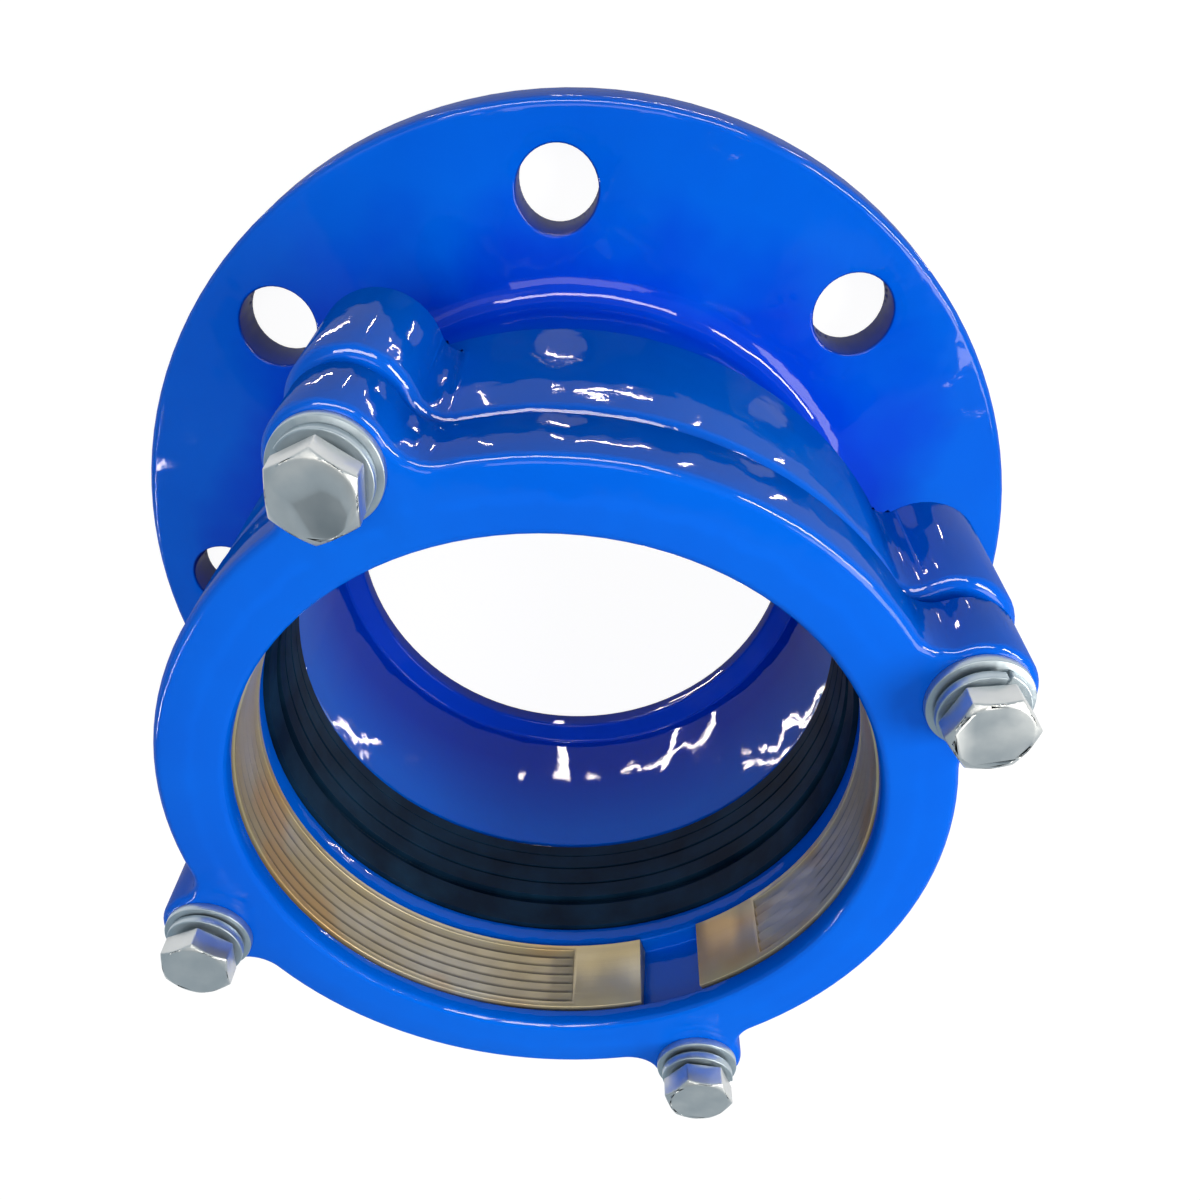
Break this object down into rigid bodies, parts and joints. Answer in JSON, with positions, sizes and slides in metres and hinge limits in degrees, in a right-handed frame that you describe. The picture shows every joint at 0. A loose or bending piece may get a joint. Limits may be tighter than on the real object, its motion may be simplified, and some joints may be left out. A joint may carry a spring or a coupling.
{
  "type": "flange adaptor",
  "caption": "Restrained flange adaptor that joins a plain-ended plastic pipe to a flanged pipe or valve, with a bolted gland, sealing gasket and split grip ring.",
  "frame": {"origin": "centre of the flange's raised mating face, on the pipe axis", "axes": "+Z along the pipe axis from the flange to the gland; a flange bolt hole lies on +X and on +Y, and the gland bolts stand at 22.5 degrees from them"},
  "size_m": [0.285, 0.285, 0.1604],
  "materials": {
    "epoxy_iron": "glossy blue epoxy on ductile iron",
    "brass": "turned, dull",
    "rubber": "EPDM, satin",
    "zinc_steel": "zinc plated, satin"
  },
  "bodies": {
    "body": {"flange_body": "epoxy_iron", "gasket": "rubber"},
    "gland": {"gland_ring": "epoxy_iron", "grip_ring": "brass", "washer_1": "zinc_steel", "washer_2": "zinc_steel", "washer_3": "zinc_steel", "washer_4": "zinc_steel", "lock_washer_1": "zinc_steel", "lock_washer_2": "zinc_steel", "lock_washer_3": "zinc_steel", "lock_washer_4": "zinc_steel"},
    "bolt_1": {"gland_bolt_1": "zinc_steel"},
    "bolt_2": {"gland_bolt_2": "zinc_steel"},
    "bolt_3": {"gland_bolt_3": "zinc_steel"},
    "bolt_4": {"gland_bolt_4": "zinc_steel"}
  },
  "joints": [
    {"name": "gland_slide", "type": "slide", "parent": "body", "child": "gland", "axis": [0, 0, 1], "range_m": [-0.00367, 0.0035], "deforming": ["gasket"]},
    {"name": "bolt_1_turn", "type": "hinge", "parent": "gland", "child": "bolt_1", "pos_m": [0.09784, 0.04053, 0.1529], "axis": [0, 0, 1], "range_deg": [-756, 720]},
    {"name": "bolt_2_turn", "type": "hinge", "parent": "gland", "child": "bolt_2", "pos_m": [-0.04053, 0.09784, 0.1529], "axis": [0, 0, 1], "range_deg": [-756, 720]},
    {"name": "bolt_3_turn", "type": "hinge", "parent": "gland", "child": "bolt_3", "pos_m": [-0.09784, -0.04053, 0.1529], "axis": [0, 0, 1], "range_deg": [-756, 720]},
    {"name": "bolt_4_turn", "type": "hinge", "parent": "gland", "child": "bolt_4", "pos_m": [0.04053, -0.09784, 0.1529], "axis": [0, 0, 1], "range_deg": [-756, 720]}
  ],
  "couplings": [
    {"joint": "bolt_1_turn", "follows": "gland_slide", "rad_per_m": 3590.4},
    {"joint": "bolt_2_turn", "follows": "gland_slide", "rad_per_m": 3590.4},
    {"joint": "bolt_3_turn", "follows": "gland_slide", "rad_per_m": 3590.4},
    {"joint": "bolt_4_turn", "follows": "gland_slide", "rad_per_m": 3590.4}
  ]
}
